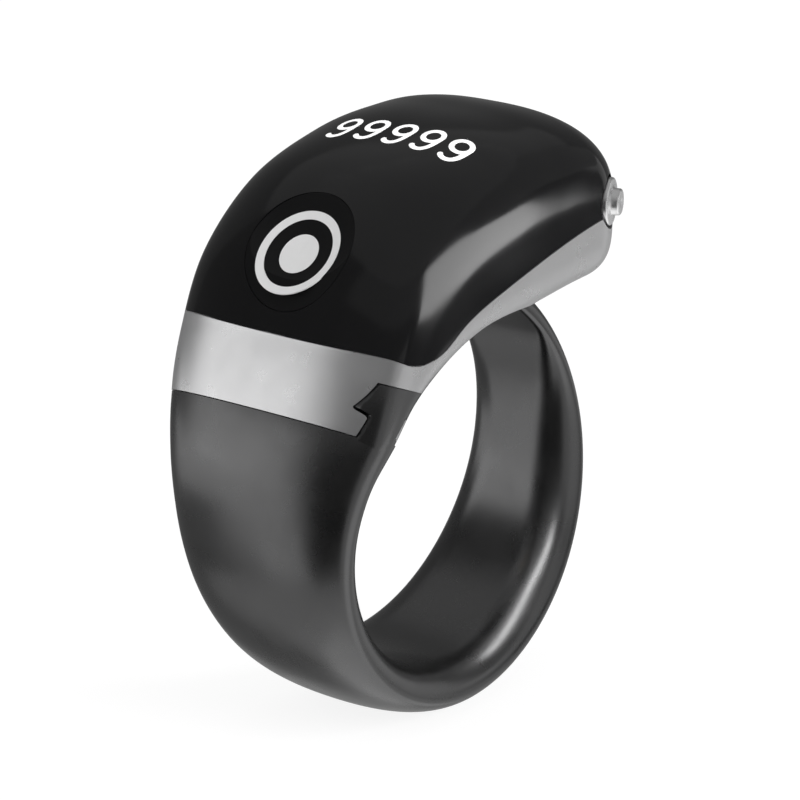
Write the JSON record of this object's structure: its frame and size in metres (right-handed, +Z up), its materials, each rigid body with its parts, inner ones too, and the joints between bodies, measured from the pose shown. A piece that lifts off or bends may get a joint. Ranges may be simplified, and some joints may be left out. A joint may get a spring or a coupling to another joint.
{
  "type": "finger tally counter",
  "caption": "Electronic tally counter worn as a finger ring: glossy head with a dished count key, lit digits and a small side key on an open C-shaped band.",
  "frame": {"origin": "centre of the round finger hole, half way across the band", "axes": "+Y along the finger; +Z up from the finger through the head; +X towards the head's free tail, away from the count key"},
  "size_m": [0.0236, 0.0155, 0.0303],
  "materials": {
    "band": "satin, dark grey",
    "housing": "satin, light silver",
    "cover": "gloss, black, lets the lit digits through",
    "seal": "matt",
    "steel": "satin",
    "gold": "polished, gold plated",
    "display": "gloss",
    "frame": "matt",
    "chip": "matt",
    "board": "matt green laminate",
    "flex": "amber film",
    "cell": "satin pouch foil"
  },
  "bodies": {
    "head": {"band": "band", "housing": "housing", "top_cover": "cover", "cover_seal": "seal", "count_switch": "frame", "key_board": "board", "key_cable": "flex", "side_switch": "frame", "display_panel": "display", "display_carrier": "frame", "display_cable": "flex", "main_board": "board", "board_screw_1": "steel", "board_screw_2": "steel", "board_screw_3": "steel", "board_screw_4": "steel", "controller_chip": "chip", "charger_chip": "chip", "clock_crystal": "steel", "battery": "cell", "battery_tab_1": "steel", "battery_tab_2": "steel", "vibration_motor": "steel", "charge_contact_1": "gold", "charge_contact_2": "gold"},
    "count_key": {"count_key": "cover", "count_plunger": "steel"},
    "side_key": {"side_key": "steel", "side_key_clip": "steel", "side_plunger": "frame"}
  },
  "joints": [
    {"name": "count_key_press", "type": "slide", "parent": "head", "child": "count_key", "axis": [0.7314, 0, -0.682], "range_m": [0, 0.00035], "stiffness_N_per_m": 4000},
    {"name": "side_key_press", "type": "slide", "parent": "head", "child": "side_key", "axis": [-0.4067, 0.9135, 0], "range_m": [0, 0.0003], "stiffness_N_per_m": 4000}
  ]
}
